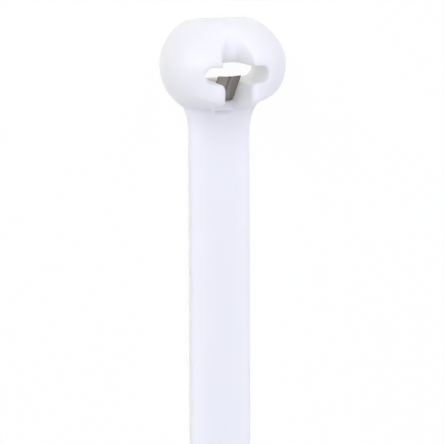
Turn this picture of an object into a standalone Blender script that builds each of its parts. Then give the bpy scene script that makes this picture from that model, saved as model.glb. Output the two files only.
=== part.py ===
"""Nylon cable tie with a steel locking barb, lying flat on its inner face.

The tie is two pieces. The nylon moulding is one body: a domed head, a smooth
strap and a tapered tail with finger ridges. It is lofted through cross-sections
set along the strap, and every cross-section comes from a few profile functions
below: the outline seen from above, the crest line seen from the side, and the
section's own fullness. A groove runs along the head's crest and crosses a slot
that the tail is threaded through, up from the underside.
The second piece is the barb, a creased slip of spring steel that is seated in
the floor of the groove and leans out over the slot.

Places along the tie are measured from the middle of the slot, positive towards
the nose of the head and negative towards the tail. +Y is that same direction in
the finished frame, +Z is up, and the underside lies at Z = 0.
"""

import math

import bmesh
import bpy

MM = 0.001

# Strap and tail
TIE_LENGTH = 140.0 * MM
STRAP_WIDTH = 3.6 * MM
STRAP_THICKNESS = 0.9 * MM
STRAP_SIDE_BULGE = 0.2 * MM
TAIL_LENGTH = 15.0 * MM
TAIL_TIP_WIDTH = 1.9 * MM
TAIL_TIP_THICKNESS = 0.65 * MM
TAIL_TIP_ROUND = 0.85 * MM
RIDGE_COUNT = 9
RIDGE_PITCH = 1.2 * MM
RIDGE_HEIGHT = 0.14 * MM
RIDGE_START = 2.2 * MM

# Head, seen from above
HEAD_WIDTH = 7.37 * MM
HEAD_CENTRE = 0.26 * MM
NOSE_REACH = 2.83 * MM
NOSE_WIDTH = 3.75 * MM
HEAD_HEEL_LENGTH = 3.1 * MM
HEEL_REACH = 1.85 * MM
HEEL_FOOT = 2.38 * MM
NECK_END = 3.8 * MM
NECK_WIDTH = 4.8 * MM

# Head, seen from the side
HEAD_HEIGHT = 4.21 * MM
CREST_PLACE = -0.29 * MM
NOSE_HEIGHT = 2.1 * MM
FOOT_HEIGHT = 1.18 * MM
HEAD_BELLY = 1.31 * MM
NOSE_BELLY = 0.71 * MM
HEAD_SIDE_BULGE = 0.4 * MM
NOSE_EDGE = 0.3 * MM
HEEL_EDGE = 1.05 * MM
FOOT_FILLET = 0.8 * MM
NECK_FILLET = 0.14 * MM

# Radius of the curve, seen from above, that the foot of the heel follows
HEEL_CURVE = 7.0 * MM

# Fullness of a cross-section: 2 is an ellipse, larger is squarer
HEAD_FULLNESS = 2.0
STRAP_FULLNESS = 6.0

# Slot, with the room that it leaves round the strap
SLOT_THICKNESS_PLAY = 0.28 * MM
SLOT_SIDE_PLAY = 0.285 * MM
SLOT_END_FLAT = 0.04 * MM
SLOT_LIP = 0.2 * MM
ENTRY_FLARE = 0.34 * MM
FAR_WALL_LEAN = 0.22 * MM
END_LEAN = 0.18 * MM
LOBE_CORNER = 0.4 * MM
SHIFT_FADE = 1.14 * MM
CORNER_FADE = 0.9 * MM

# Barb
BARB_WIDTH = 1.36 * MM
BARB_THICKNESS = 0.12 * MM
BARB_CREASE = 0.07 * MM
BARB_REACH = 1.89 * MM
BARB_ROOTED = 0.76 * MM
BARB_ANGLE = math.radians(43.5)
BARB_ROOT_PLACE = -1.7 * MM
BARB_SEAT_FIT = 0.02 * MM

# Groove along the crest of the head: upright walls behind the slot, soft banks ahead of it
GROOVE_SIDE_ROOM = 0.03 * MM
GROOVE_DRAFT = 0.06 * MM
GROOVE_CREST = 0.45 * MM
GROOVE_BANK_IN = 0.525 * MM
GROOVE_BANK_OUT = 0.445 * MM
GROOVE_FAR_FLOOR = 2.4 * MM
GROOVE_FAR_END = 2.45 * MM
GROOVE_FAR_CURVE = 1.25
GROOVE_NEAR_FLOOR = 0.76 * MM

# Notch behind the foot of the heel
NOTCH_BEHIND_FOOT = 0.12 * MM
NOTCH_WIDTH = 1.01 * MM
NOTCH_LENGTH = 0.42 * MM
NOTCH_DEPTH = 0.45 * MM

# Fineness of the loft
FLOOR_LINES = 4
SPAN_LINES = 3
BELLY_LINES = 6
SIDE_LINES = 4
NOSE_ROWS = 8
SLOT_ROWS = 8
HEEL_ROWS = 13
NECK_ROWS = 6
TAPER_ROWS = 3
EDGE_STEPS = (0.0, 0.1, 0.25, 0.45, 0.7, 1.0)
ARC_STEPS = 4
GROOVE_LINES_SHARE = 0.6
SLOT_LINES_SHARE = 0.85
SIDE_BULGE_SHARE = 0.15
TUCK_START = 0.66

# How blunt the tail's rounded tip is: 1 comes to a point and 0 is cut square
TIP_BLUNT = 0.9

# Colours are linear red, green and blue
NYLON_COLOUR = (0.86, 0.87, 0.93)
NYLON_ROUGHNESS = 0.34
NYLON_SUBSURFACE = 0.6
STEEL_COLOUR = (0.26, 0.25, 0.24)
STEEL_ROUGHNESS = 0.38
NYLON_SHARP_ANGLE = 40
STEEL_SHARP_ANGLE = 20

# Worked out from the sizes above
SLOT_WIDTH = STRAP_WIDTH + 2 * SLOT_SIDE_PLAY
SLOT_GAP = STRAP_THICKNESS + SLOT_THICKNESS_PLAY
SLOT_CORNER = (SLOT_GAP - SLOT_END_FLAT) / 2
GROOVE_FLOOR_HALF = BARB_WIDTH / 2 + GROOVE_SIDE_ROOM
GROOVE_HALF = GROOVE_FLOOR_HALF + GROOVE_DRAFT
TAIL_TIP = NOSE_REACH - TIE_LENGTH
TAIL_START = TAIL_TIP + TAIL_LENGTH
SLOT_PLACE = TIE_LENGTH / 2 - NOSE_REACH
HEAD_NOSE_LENGTH = (NOSE_REACH - HEAD_CENTRE) / math.sqrt(
    1 - (NOSE_WIDTH / HEAD_WIDTH) ** 2
)


def clear_scene():
    for old in list(bpy.data.objects):
        bpy.data.objects.remove(old, do_unlink=True)


def share(value, start, end):
    """How far value lies from start to end, kept between 0 and 1."""
    return min(1.0, max(0.0, (value - start) / (end - start)))


def blend(first, last, t):
    """From first to last with a level start and end."""
    return first + (last - first) * t * t * (3 - 2 * t)


def smooth_min(a, b, reach):
    """The lower of a and b, with the corner between them rounded over reach."""
    overlap = max(0.0, reach - abs(a - b)) / reach
    return min(a, b) - overlap * overlap * reach / 4


def smooth_max(a, b, reach):
    return -smooth_min(-a, -b, reach)


def quarter_round(distance, radius):
    """Drop of an edge rounded with radius, at a distance inside that edge."""
    if distance >= radius:
        return 0.0
    return radius - math.sqrt(max(0.0, radius**2 - (radius - distance) ** 2))


def half_width(y):
    """Half the width of the outline seen from above."""
    if y > HEAD_CENTRE:
        reach = (y - HEAD_CENTRE) / HEAD_NOSE_LENGTH
        return HEAD_WIDTH / 2 * math.sqrt(1 - reach * reach)
    reach = min(1.0, (HEAD_CENTRE - y) / HEAD_HEEL_LENGTH)
    head = HEAD_WIDTH / 2 * math.sqrt(1 - reach * reach)
    flare = share(y, -NECK_END, -HEEL_REACH) ** 2
    neck = (STRAP_WIDTH + (NECK_WIDTH - STRAP_WIDTH) * flare) / 2
    tail = (STRAP_WIDTH - TAIL_TIP_WIDTH) / 2 * share(y, TAIL_START, TAIL_TIP)
    width = smooth_max(head, neck, NECK_FILLET) - tail
    tip = share(y, TAIL_TIP + TAIL_TIP_ROUND, TAIL_TIP)
    return width * math.sqrt(1 - TIP_BLUNT * tip * tip)


def ridge_height(y):
    """Finger ridges across the tail, with sloping flanks."""
    along = (TAIL_START - RIDGE_START - y) / RIDGE_PITCH
    if not 0 <= along <= RIDGE_COUNT:
        return 0.0
    return RIDGE_HEIGHT * min(1.0, max(0.0, 2 - abs(4 * (along % 1) - 2)))


def crest_height(y):
    """Height of the crest line seen from the side, as if there were no groove."""
    slope = share(y, CREST_PLACE, NOSE_REACH)
    crown = HEAD_HEIGHT - (HEAD_HEIGHT - NOSE_HEIGHT) * slope**2
    steepness = (HEAD_HEIGHT - FOOT_HEIGHT) / (HEEL_FOOT - HEEL_REACH)
    heel = FOOT_HEIGHT + (y + HEEL_FOOT) * steepness
    head = smooth_min(crown, heel, HEEL_EDGE)
    rise = share(y, -NECK_END, -HEEL_FOOT) ** 2
    neck = STRAP_THICKNESS + (FOOT_HEIGHT - STRAP_THICKNESS) * rise
    thinning = (STRAP_THICKNESS - TAIL_TIP_THICKNESS) * share(y, TAIL_START, TAIL_TIP)
    return smooth_max(head, neck, FOOT_FILLET) - thinning + ridge_height(y)


def belly_height(y):
    """Height of the widest line of the side wall."""
    if y > HEAD_CENTRE:
        return blend(HEAD_BELLY, NOSE_BELLY, share(y, HEAD_CENTRE, NOSE_REACH))
    strap = STRAP_THICKNESS / 2
    thin = TAIL_TIP_THICKNESS / 2
    strap = strap + (thin - strap) * share(y, TAIL_START, TAIL_TIP)
    return blend(strap, HEAD_BELLY, share(y, -NECK_END, HEAD_CENTRE))


def head_share(y):
    """0 along the strap and 1 in the head."""
    return share(y, -NECK_END, -HEEL_REACH)


def heel_bend(x, y):
    """How much further back the crest line counts at x, because the heel is curved."""
    return x * x / (2 * HEEL_CURVE) * blend(1.0, 0.0, share(y, -HEEL_REACH, 0.0))


def dome_height(x, y, inset=0.0):
    """The outer face, before the groove and the slot are taken out of it."""
    fullness = blend(STRAP_FULLNESS, HEAD_FULLNESS, head_share(y))
    belly = belly_height(y)
    across = min(1.0, abs(x) / (half_width(y) - inset))
    rise = (1 - across**fullness) ** (1 / fullness)
    crest = crest_height(y - heel_bend(x, y) * head_share(y))
    return belly + (crest - inset - belly) * rise


def groove_floor(y):
    """Floor of the groove: it runs out towards the nose and climbs gently to the heel."""
    edge = SLOT_GAP / 2
    if y > 0:
        deepest = crest_height(edge) - GROOVE_FAR_FLOOR
        return crest_height(y) - deepest * (1 - share(y, edge, GROOVE_FAR_END)) ** GROOVE_FAR_CURVE
    climb = (FOOT_HEIGHT - GROOVE_NEAR_FLOOR) / (HEEL_FOOT - edge)
    return GROOVE_NEAR_FLOOR + climb * (-y - edge)


def far_bank(x):
    """0 on the floor of the groove ahead of the slot and 1 on the crown beside it."""
    t = share(abs(x), GROOVE_HALF - GROOVE_BANK_IN, GROOVE_HALF + GROOVE_BANK_OUT)
    return blend(0.0, 1.0, blend(0.0, 1.0, t))


def groove_drop(x, y, surface):
    """Depth of the groove below the dome, which runs out at both of its ends."""
    depth = surface - groove_floor(y)
    if depth <= 0 or y > GROOVE_FAR_END:
        return 0.0
    if y > 0:
        return depth * (1 - far_bank(x))
    crest = min(GROOVE_CREST, depth)
    outside = abs(x) - GROOVE_HALF
    if outside >= 0:
        return quarter_round(outside, crest)
    return crest + (depth - crest) * min(1.0, -outside / GROOVE_DRAFT)


def slot_distance(x, y):
    """Distance from a point of the face to the slot's rounded outline."""
    reach_x = abs(x) - SLOT_WIDTH / 2 + SLOT_CORNER
    reach_y = abs(y) - SLOT_GAP / 2 + SLOT_CORNER
    outside = math.hypot(max(reach_x, 0.0), max(reach_y, 0.0))
    return max(0.0, outside + min(max(reach_x, reach_y), 0.0) - SLOT_CORNER)


def around_corner(x, y):
    """Bends the square grid of the loft so that its lines run round the slot's corners."""
    reach_x = abs(x) - SLOT_WIDTH / 2 + SLOT_CORNER
    reach_y = abs(y) - SLOT_GAP / 2 + SLOT_CORNER
    if reach_x <= 0 or reach_y <= 0:
        return x, y
    ring = max(reach_x, reach_y)
    away = share(ring, SLOT_CORNER + ENTRY_FLARE, SLOT_CORNER + CORNER_FADE)
    pull = (1 - ring / math.hypot(reach_x, reach_y)) * blend(1.0, 0.0, away)
    return (
        x - math.copysign(reach_x * pull, x),
        y - math.copysign(reach_y * pull, y),
    )


def slot_shift(x, y):
    """How far a place of the outer face stands off its own cross-section, along the tie.

    The far wall of the slot leans over it, so the slot is tighter where the tail comes
    out. Behind the slot the groove leaves two lobes, and their corners are rounded back.
    """
    edge = SLOT_GAP / 2
    outside = abs(x) - GROOVE_HALF
    wall_height = GROOVE_FAR_FLOOR + (HEAD_HEIGHT - GROOVE_FAR_FLOOR) * far_bank(x)
    lean = FAR_WALL_LEAN * share(y, -edge, edge) * wall_height / HEAD_HEIGHT
    corner = 0.0
    if y < 0 and outside > -GROOVE_DRAFT / 2:
        corner = quarter_round(max(0.0, outside), LOBE_CORNER)
    return blend(-corner - lean, 0.0, share(abs(y), edge, edge + SHIFT_FADE))


def end_shift(x, y):
    """How far a place of the outer face stands in from its line: the slot's ends lean in."""
    close = blend(1.0, 0.0, share(slot_distance(x, y), 0.0, SHIFT_FADE))
    return END_LEAN * close * share(abs(x), GROOVE_HALF + GROOVE_CREST, SLOT_WIDTH / 2)


def outer_point(x, y, inset):
    """A point of the outer face, with the groove and the slot's rounded lip taken out."""
    lip = quarter_round(slot_distance(x, y), SLOT_LIP)
    place = y + slot_shift(x, y)
    x -= math.copysign(end_shift(x, y), x)
    surface = dome_height(x, place, inset)
    return x, place, surface - groove_drop(x, place, surface) - lip


def under_height(x, y, inset=0.0):
    return inset + quarter_round(slot_distance(x, y), ENTRY_FLARE)


def cross_lines(y, inset):
    """Places of the loft's lines on one half of the section at y, from the middle out."""
    width = half_width(y) - inset
    crest = GROOVE_HALF + GROOVE_CREST
    span_end = SLOT_WIDTH / 2 + ENTRY_FLARE
    inner = min(1.0, GROOVE_LINES_SHARE * width / crest)
    outer = min(1.0, (SLOT_LINES_SHARE * width - inner * crest) / (span_end - crest))
    lines = [GROOVE_FLOOR_HALF * i / FLOOR_LINES for i in range(FLOOR_LINES + 1)]
    for i in range(ARC_STEPS + 1):
        turn = math.pi / 2 * i / ARC_STEPS
        lines.append(GROOVE_HALF + GROOVE_CREST * (1 - math.cos(turn)))
    lines = [x * inner for x in lines]
    span = SLOT_WIDTH / 2 - crest
    for i in range(1, SPAN_LINES):
        lines.append(crest * inner + outer * span * i / SPAN_LINES)
    for step in EDGE_STEPS:
        lines.append(crest * inner + outer * (span + ENTRY_FLARE * step))
    last = lines[-1]
    for i in range(1, BELLY_LINES + 1):
        turn = math.pi / 2 * i / BELLY_LINES
        lines.append(last + (width - last) * math.sin(turn))
    return lines


SLOT_LINE = FLOOR_LINES + ARC_STEPS + 1 + SPAN_LINES


def spread(start, end, count):
    """Evenly spaced places after start, up to and including end."""
    return [start + (end - start) * (i + 1) / count for i in range(count)]


def loft_rows():
    """(place, inset) of each cross-section from the nose to the tip of the tail."""
    nose = []
    for i in range(ARC_STEPS + 1):
        turn = math.pi / 2 * (1 - i / ARC_STEPS)
        place = NOSE_REACH - NOSE_EDGE + NOSE_EDGE * math.sin(turn)
        nose.append((place, NOSE_EDGE * (1 - math.cos(turn))))
    edge = SLOT_GAP / 2
    places = spread(NOSE_REACH - NOSE_EDGE, edge + ENTRY_FLARE, NOSE_ROWS)
    places += [edge + ENTRY_FLARE * step for step in reversed(EDGE_STEPS[:-1])]
    first = len(nose) + len(places) - 1
    for i in range(1, SLOT_ROWS + 1):
        places.append(edge * math.cos(math.pi * i / SLOT_ROWS))
    last = len(nose) + len(places) - 1
    places += [-edge - ENTRY_FLARE * step for step in EDGE_STEPS[1:]]
    heel_start = -(HEEL_REACH + edge + ENTRY_FLARE) / 2
    heel_end = -HEEL_FOOT - NOTCH_BEHIND_FOOT - NOTCH_LENGTH
    places += spread(-edge - ENTRY_FLARE, heel_start, 2)
    places += spread(heel_start, heel_end, HEEL_ROWS)
    places += spread(heel_end, -NECK_END, NECK_ROWS)
    places += spread(-NECK_END, TAIL_START, 1)
    ridges_start = TAIL_START - RIDGE_START
    places += spread(TAIL_START, ridges_start, 1)
    for i in range(RIDGE_COUNT):
        start = ridges_start - RIDGE_PITCH * i
        places += [start - RIDGE_PITCH * part for part in (0.25, 0.5, 0.75, 1.0)]
    round_start = TAIL_TIP + TAIL_TIP_ROUND
    if places[-1] > round_start:
        places += spread(places[-1], round_start, TAPER_ROWS)
    for i in range(1, 2 * ARC_STEPS + 1):
        turn = math.pi / 2 * i / (2 * ARC_STEPS)
        places.append(round_start - TAIL_TIP_ROUND * math.sin(turn))
    return nose + [(place, 0.0) for place in places], first, last


def make_section(mesh, y, inset, in_slot):
    """Vertices of one cross-section: its top, its underside and its two side walls."""
    lines = cross_lines(y, inset)
    width = lines[-1]
    bulge = HEAD_SIDE_BULGE * head_share(y) + STRAP_SIDE_BULGE * (1 - head_share(y))
    bulge = min(bulge, SIDE_BULGE_SHARE * width)
    belly = dome_height(width, y, inset)
    section = {}
    for number in range(1 - len(lines), len(lines)):
        side = -1 if number < 0 else 1
        x = lines[abs(number)]
        if in_slot == "inside" and abs(number) < SLOT_LINE:
            continue
        if in_slot and abs(number) == SLOT_LINE:
            x = SLOT_WIDTH / 2
        place_x, place_y = around_corner(x * side, y)
        top = outer_point(place_x, place_y, inset)
        section["top", number] = mesh.verts.new(top)
        tuck = bulge * share(x, TUCK_START * width, width) ** 2
        under_x, under_y = around_corner((x - tuck) * side, y)
        low = under_height(under_x, under_y, inset)
        section["under", number] = mesh.verts.new((under_x, under_y, low))
    for side in (-1, 1):
        for step in range(1, SIDE_LINES):
            turn = math.pi / 2 * step / SIDE_LINES
            x = width - bulge * (1 - math.cos(turn))
            z = belly + (inset - belly) * math.sin(turn)
            section["side", side * step] = mesh.verts.new((x * side, y, z))
    return section, len(lines) - 1


def ring_keys(edge):
    """Names of a section's vertices in order round it."""
    keys = [("top", number) for number in range(-edge, edge + 1)]
    keys += [("side", step) for step in range(1, SIDE_LINES)]
    keys += [("under", number) for number in range(edge, -edge - 1, -1)]
    keys += [("side", -step) for step in range(SIDE_LINES - 1, 0, -1)]
    return keys


def make_moulding():
    """The nylon body: cross-sections joined in order, with the slot left open."""
    mesh = bmesh.new()
    rows, first, last = loft_rows()
    sections = []
    for index, (y, inset) in enumerate(rows):
        in_slot = ""
        if index in (first, last):
            in_slot = "edge"
        elif first < index < last:
            in_slot = "inside"
        section, edge = make_section(mesh, y, inset, in_slot)
        sections.append(section)
    keys = ring_keys(edge)
    for index in range(len(sections) - 1):
        here, there = sections[index], sections[index + 1]
        for a, b in zip(keys, keys[1:] + keys[:1]):
            in_gap = a[0] == b[0] != "side" and max(abs(a[1]), abs(b[1])) <= SLOT_LINE
            if first <= index < last and in_gap:
                continue
            mesh.faces.new((here[a], here[b], there[b], there[a]))
    mesh.faces.new([sections[0][key] for key in reversed(keys)])
    mesh.faces.new([sections[-1][key] for key in keys])
    around = [(first, number) for number in range(-SLOT_LINE, SLOT_LINE)]
    around += [(row, SLOT_LINE) for row in range(first, last)]
    around += [(last, number) for number in range(SLOT_LINE, -SLOT_LINE, -1)]
    around += [(row, -SLOT_LINE) for row in range(last, first, -1)]
    for (row_a, a), (row_b, b) in zip(around, around[1:] + around[:1]):
        mesh.faces.new(
            (
                sections[row_a]["top", a],
                sections[row_b]["top", b],
                sections[row_b]["under", b],
                sections[row_a]["under", a],
            )
        )
    bmesh.ops.recalc_face_normals(mesh, faces=mesh.faces)
    return finish(mesh, "tie_moulding")


def finish(mesh, name):
    """Turns a bmesh into an object of that name, in its place in the frame."""
    bmesh.ops.translate(mesh, vec=(0, SLOT_PLACE, 0), verts=mesh.verts)
    data = bpy.data.meshes.new(name)
    mesh.to_mesh(data)
    mesh.free()
    thing = bpy.data.objects.new(name, data)
    bpy.context.scene.collection.objects.link(thing)
    return thing


def closed_loop(mesh, ring):
    return [mesh.edges.new(pair) for pair in zip(ring, ring[1:] + ring[:1])]


def barb_solid(name, grow, rooted, reach):
    """A creased plate that leans up from its root, larger all round by grow."""
    half = BARB_WIDTH / 2 + grow
    thick = BARB_THICKNESS / 2 + grow
    crease = BARB_CREASE * half / (BARB_WIDTH / 2)
    outline = [(-half, thick), (0, thick + crease), (half, thick)]
    outline += [(half, -thick), (0, crease - thick), (-half, -thick)]
    root = groove_floor(BARB_ROOT_PLACE)
    mesh = bmesh.new()
    ends = []
    edges = []
    for along in (-rooted, reach):
        ring = []
        for x, lift in outline:
            y = BARB_ROOT_PLACE + along * math.cos(BARB_ANGLE) - lift * math.sin(BARB_ANGLE)
            z = root + along * math.sin(BARB_ANGLE) + lift * math.cos(BARB_ANGLE)
            ring.append(mesh.verts.new((x, y, z)))
        ends.append(ring)
        edges += closed_loop(mesh, ring)
    bmesh.ops.bridge_loops(mesh, edges=edges)
    for ring in ends:
        mesh.faces.new(ring)
    bmesh.ops.recalc_face_normals(mesh, faces=mesh.faces)
    return finish(mesh, name)


def notch_cutter():
    """Upright towards the heel, with a floor that curves up and runs out on the neck."""
    far = -HEEL_FOOT - NOTCH_BEHIND_FOOT
    near = far - NOTCH_LENGTH
    middle = far - NOTCH_LENGTH / 2
    above = crest_height(far) + NOTCH_DEPTH
    profile = [(far, crest_height(far) - NOTCH_DEPTH), (far, above)]
    profile += [(near, above), (near, crest_height(near))]
    profile += [(middle, crest_height(middle) - NOTCH_DEPTH / 4)]
    mesh = bmesh.new()
    ring = [mesh.verts.new((-NOTCH_WIDTH / 2, y, z)) for y, z in profile]
    face = mesh.faces.new(ring)
    grown = bmesh.ops.extrude_face_region(mesh, geom=[face])
    moved = [item for item in grown["geom"] if isinstance(item, bmesh.types.BMVert)]
    bmesh.ops.translate(mesh, vec=(NOTCH_WIDTH, 0, 0), verts=moved)
    bmesh.ops.recalc_face_normals(mesh, faces=mesh.faces)
    return finish(mesh, "notch_cutter")


def cut(body, cutter):
    """Subtracts cutter from body and keeps it as a wire helper."""
    cutter.hide_render = True
    cutter.display_type = "WIRE"
    cutting = body.modifiers.new(cutter.name, "BOOLEAN")
    cutting.operation = "DIFFERENCE"
    cutting.solver = "EXACT"
    cutting.object = cutter


def make_material(name, colour, roughness, metallic=0.0, subsurface=0.0):
    material = bpy.data.materials.new(name)
    material.use_nodes = True
    shader = material.node_tree.nodes["Principled BSDF"]
    shader.inputs["Base Color"].default_value = (*colour, 1)
    shader.inputs["Roughness"].default_value = roughness
    shader.inputs["Metallic"].default_value = metallic
    shader.inputs["Subsurface Weight"].default_value = subsurface
    shader.inputs["Subsurface Scale"].default_value = STRAP_THICKNESS
    return material


def smooth(thing, sharp_above):
    thing.data.shade_smooth()
    thing.data.set_sharp_from_angle(angle=math.radians(sharp_above))


def main():
    clear_scene()
    moulding = make_moulding()
    smooth(moulding, NYLON_SHARP_ANGLE)
    nylon = make_material(
        "natural_nylon", NYLON_COLOUR, NYLON_ROUGHNESS, subsurface=NYLON_SUBSURFACE
    )
    moulding.data.materials.append(nylon)
    barb = barb_solid("locking_barb", 0.0, BARB_ROOTED, BARB_REACH)
    smooth(barb, STEEL_SHARP_ANGLE)
    steel = make_material("spring_steel", STEEL_COLOUR, STEEL_ROUGHNESS, metallic=1.0)
    barb.data.materials.append(steel)
    seat_depth = BARB_ROOTED + BARB_SEAT_FIT
    seat_reach = BARB_REACH + BARB_THICKNESS
    cut(moulding, barb_solid("barb_seat", BARB_SEAT_FIT, seat_depth, seat_reach))
    cut(moulding, notch_cutter())


main()
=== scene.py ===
# %% [markdown]
# # A cable tie with a steel barb
#
# The object is a nylon cable tie of the kind that locks with a slip of steel.
# It has two pieces. The nylon moulding is one body: a domed head, a flat strap
# and a thin tail. The barb is a short strip of spring steel that was pushed into
# the head while the nylon was warm. It leans over the slot, lets the strap slide
# through one way, and digs into it when the strap is pulled back.
#
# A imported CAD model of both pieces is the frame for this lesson. It is loaded
# first, and everything that follows takes its place from it. The box round the
# CAD model is kept, because the finished tie has to stay inside it.

# %% Load the frame
import math

import bpy
import numpy as np
from mathutils import Matrix, Vector


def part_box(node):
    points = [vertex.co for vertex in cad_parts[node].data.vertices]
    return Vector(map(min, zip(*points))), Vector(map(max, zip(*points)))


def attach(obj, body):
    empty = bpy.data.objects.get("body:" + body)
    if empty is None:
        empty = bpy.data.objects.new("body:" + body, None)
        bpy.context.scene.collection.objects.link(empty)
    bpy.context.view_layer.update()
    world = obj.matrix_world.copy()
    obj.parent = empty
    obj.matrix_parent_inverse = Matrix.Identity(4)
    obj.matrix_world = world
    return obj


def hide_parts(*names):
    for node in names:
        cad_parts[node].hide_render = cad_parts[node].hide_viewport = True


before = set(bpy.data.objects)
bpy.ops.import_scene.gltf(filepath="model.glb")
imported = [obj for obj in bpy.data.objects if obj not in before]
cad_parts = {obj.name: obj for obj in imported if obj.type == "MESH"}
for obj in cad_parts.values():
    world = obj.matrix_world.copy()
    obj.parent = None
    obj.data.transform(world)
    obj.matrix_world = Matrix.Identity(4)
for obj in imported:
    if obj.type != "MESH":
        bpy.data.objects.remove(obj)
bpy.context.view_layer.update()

MM = 0.001
moulding_low, moulding_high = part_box("tie_moulding")
barb_low, barb_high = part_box("locking_barb")
print("tie, mm:", [round(size / MM, 2) for size in moulding_high - moulding_low])
print("barb, mm:", [round(size / MM, 2) for size in barb_high - barb_low])

# %% [markdown]
# ## The camera
#
# The tie lies on its flat inner face and the camera looks down on it, 20 degrees
# off to the left of upright and 8 degrees towards the nose of the head. That is
# why the right-hand wall of the groove shows and the left-hand one doesn't. The
# picture has hardly any perspective, so the camera stands half a metre away
# with a very long lens. One pixel of the picture is 0.0576 mm on the tie, which
# makes the strap the 3.6 mm that such ties are sold in.

# %% Camera
PICTURE_SIZE = 444
PIXEL = 0.0576 * MM
LEAN_LEFT = math.radians(20.0)
LEAN_TO_NOSE = math.radians(8.0)
ROLL = math.radians(-0.2)
CAMERA_DISTANCE = 0.5
SENSOR = 36.0
PICTURE_CENTRE_BELOW_SLOT = 157.1 * PIXEL
PICTURE_CENTRE_RIGHT_OF_SLOT = 5.8 * PIXEL
NOSE_REACH = 2.83 * MM

slot_place = Vector((0, moulding_high.y - NOSE_REACH, 0))
right = Vector((math.cos(LEAN_LEFT), 0, math.sin(LEAN_LEFT)))
towards_camera = Vector(
    (
        -math.sin(LEAN_LEFT) * math.cos(LEAN_TO_NOSE),
        math.sin(LEAN_TO_NOSE),
        math.cos(LEAN_LEFT) * math.cos(LEAN_TO_NOSE),
    )
)
up = towards_camera.cross(right)
aim = slot_place - Vector((0, PICTURE_CENTRE_BELOW_SLOT, 0))
aim += right * PICTURE_CENTRE_RIGHT_OF_SLOT

camera_data = bpy.data.cameras.new("camera")
camera_data.sensor_width = SENSOR
camera_data.lens = SENSOR * CAMERA_DISTANCE / (PICTURE_SIZE * PIXEL)
camera = bpy.data.objects.new("camera", camera_data)
turn = Matrix.Rotation(ROLL, 3, towards_camera) @ Matrix((right, up, towards_camera)).transposed()
camera.matrix_world = Matrix.Translation(aim + towards_camera * CAMERA_DISTANCE) @ turn.to_4x4()
bpy.context.scene.collection.objects.link(camera)
bpy.context.scene.camera = camera
bpy.context.scene.view_settings.view_transform = "Standard"
print("lens, mm:", round(camera_data.lens, 1))

# %% [markdown]
# ## Curves that draw the moulding
#
# A moulded head has no straight line to start from, so it could be sculpted, or
# built from a ball with cuts. Here it is lofted instead: cross-sections stand
# one behind another along the tie, and a few curves give the size of each one.
# That keeps the dome, the neck, the strap and the ridged tail one smooth skin,
# and a size can be changed in one place.
#
# Five small functions do all the easing and rounding below. They work on whole
# rows of points at once.

# %% Easing and rounding
def share(value, start, end):
    """How far value lies from start to end, kept between 0 and 1."""
    return np.clip((value - start) / (end - start), 0.0, 1.0)


def ease(t):
    """0 to 1 with a level start and end."""
    return t * t * (3 - 2 * t)


def soft_min(a, b, reach):
    """The lower of a and b, with the corner between them rounded over reach."""
    overlap = np.maximum(0.0, reach - np.abs(a - b)) / reach
    return np.minimum(a, b) - overlap**2 * reach / 4


def soft_max(a, b, reach):
    """The higher of a and b, rounded in the same way."""
    return -soft_min(-a, -b, reach)


def rounding(distance, radius):
    """Drop of an edge rounded with radius, at a distance inside that edge."""
    inside = np.clip(radius - distance, 0.0, radius)
    return radius - np.sqrt(radius**2 - inside**2)


print("half way along an ease:", ease(0.5))

# %% [markdown]
# ## The outline from above and from the side
#
# Seen from above, the head is nearly round with a flat nose, and it flows into
# the strap through a short flared neck. Seen from the side, the crown slopes
# down to the nose and drops steeply at the heel. Places are measured from the
# middle of the slot, positive towards the nose. The tie's length and the head's
# width come from the frame. The rest of the head and the strap's width are read
# from the picture at its scale. The picture doesn't show the tail, so that is
# the usual one of such ties.

# %% Outline
HEAD_WIDTH = moulding_high.x - moulding_low.x
STRAP_WIDTH = 3.6 * MM
STRAP_THICKNESS = 0.9 * MM
HEAD_CENTRE = 0.26 * MM
NOSE_WIDTH = 3.75 * MM
HEEL_LENGTH = 3.1 * MM
HEEL_REACH = 1.85 * MM
HEEL_FOOT = 2.38 * MM
NECK_END = 3.8 * MM
NECK_WIDTH = 4.8 * MM
NECK_FILLET = 0.14 * MM
TAIL_LENGTH = 15.0 * MM
TAIL_TIP = moulding_low.y - slot_place.y
TAIL_START = TAIL_TIP + TAIL_LENGTH
TIP_WIDTH = 1.9 * MM
TIP_THICKNESS = 0.65 * MM
TIP_ROUND = 0.85 * MM
TIP_BLUNT = 0.9
NOSE_LENGTH = (NOSE_REACH - HEAD_CENTRE) / math.sqrt(1 - (NOSE_WIDTH / HEAD_WIDTH) ** 2)


def half_width(y):
    """Half the width of the outline seen from above."""
    nose = (y - HEAD_CENTRE) / NOSE_LENGTH
    heel = (HEAD_CENTRE - y) / HEEL_LENGTH
    head = HEAD_WIDTH / 2 * np.sqrt(1 - np.clip(np.maximum(nose, heel), 0, 1) ** 2)
    flare = share(y, -NECK_END, -HEEL_REACH) ** 2
    neck = (STRAP_WIDTH + (NECK_WIDTH - STRAP_WIDTH) * flare) / 2
    body = np.where(y > HEAD_CENTRE, head, soft_max(head, neck, NECK_FILLET))
    taper = (STRAP_WIDTH - TIP_WIDTH) / 2 * share(y, TAIL_START, TAIL_TIP)
    tip = share(y, TAIL_TIP + TIP_ROUND, TAIL_TIP)
    return (body - taper) * np.sqrt(1 - TIP_BLUNT * tip**2)


print("half width at the neck, mm:", round(float(half_width(-HEEL_REACH)) / MM, 2))

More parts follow.
